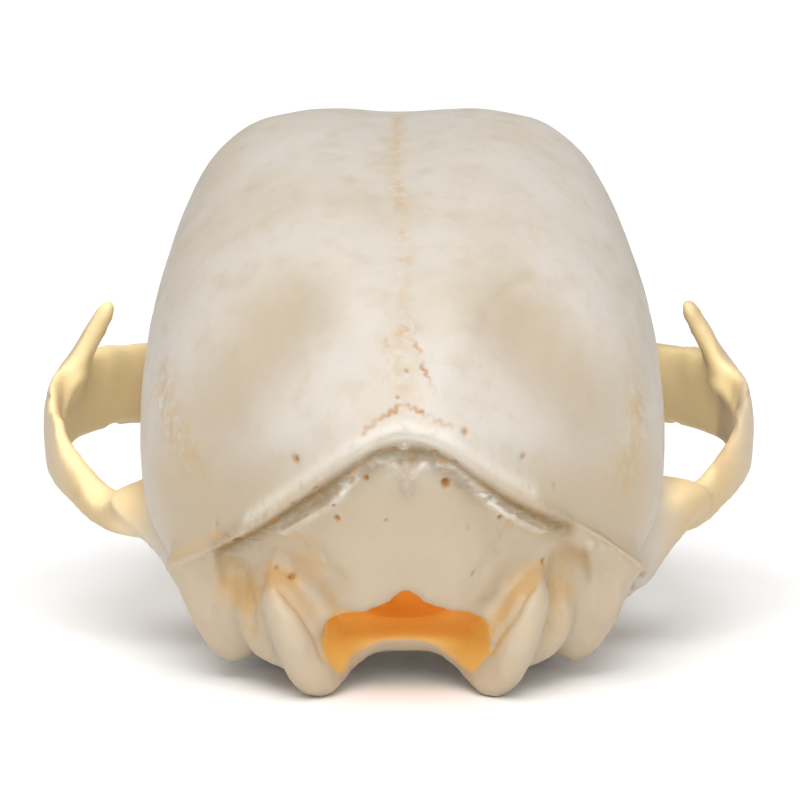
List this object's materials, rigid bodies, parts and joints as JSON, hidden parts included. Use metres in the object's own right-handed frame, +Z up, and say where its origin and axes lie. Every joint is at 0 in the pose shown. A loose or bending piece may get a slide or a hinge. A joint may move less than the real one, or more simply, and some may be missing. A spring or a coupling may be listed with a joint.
{
  "type": "lynx skull",
  "caption": "Skull of a young lynx without its lower jaw: domed braincase, lambdoid crest, open cheek arches, ear bullae and upper teeth, resting on canine tips and occipital condyles.",
  "frame": {"origin": "on the floor below the middle of the bounding box, with the skull resting on its condyles and canine tips", "axes": "+Y towards the nose, +X towards the skull's own right side, +Z up"},
  "size_m": [0.0842, 0.1204, 0.0602],
  "materials": {
    "occipital_bone": "dry matt bone, cream",
    "braincase_bone": "dry matt bone, ivory",
    "muzzle_bone": "dry matt bone, ivory",
    "zygomatic_right_bone": "dry matt bone, yellowish",
    "zygomatic_left_bone": "dry matt bone, yellowish",
    "bulla_right_bone": "dry matt bone, cream",
    "bulla_left_bone": "dry matt bone, cream",
    "enamel": "glossy tooth enamel"
  },
  "bodies": {
    "root": {"occipital": "occipital_bone", "braincase": "braincase_bone", "muzzle": "muzzle_bone", "zygomatic_right": "zygomatic_right_bone", "zygomatic_left": "zygomatic_left_bone", "bulla_right": "bulla_right_bone", "bulla_left": "bulla_left_bone", "incisor_1_right": "enamel", "incisor_1_left": "enamel", "incisor_2_right": "enamel", "incisor_2_left": "enamel", "incisor_3_right": "enamel", "incisor_3_left": "enamel", "canine_right": "enamel", "canine_left": "enamel", "premolar_3_right": "enamel", "premolar_3_left": "enamel", "carnassial_right": "enamel", "carnassial_left": "enamel", "molar_1_right": "enamel", "molar_1_left": "enamel"}
  },
  "joints": []
}
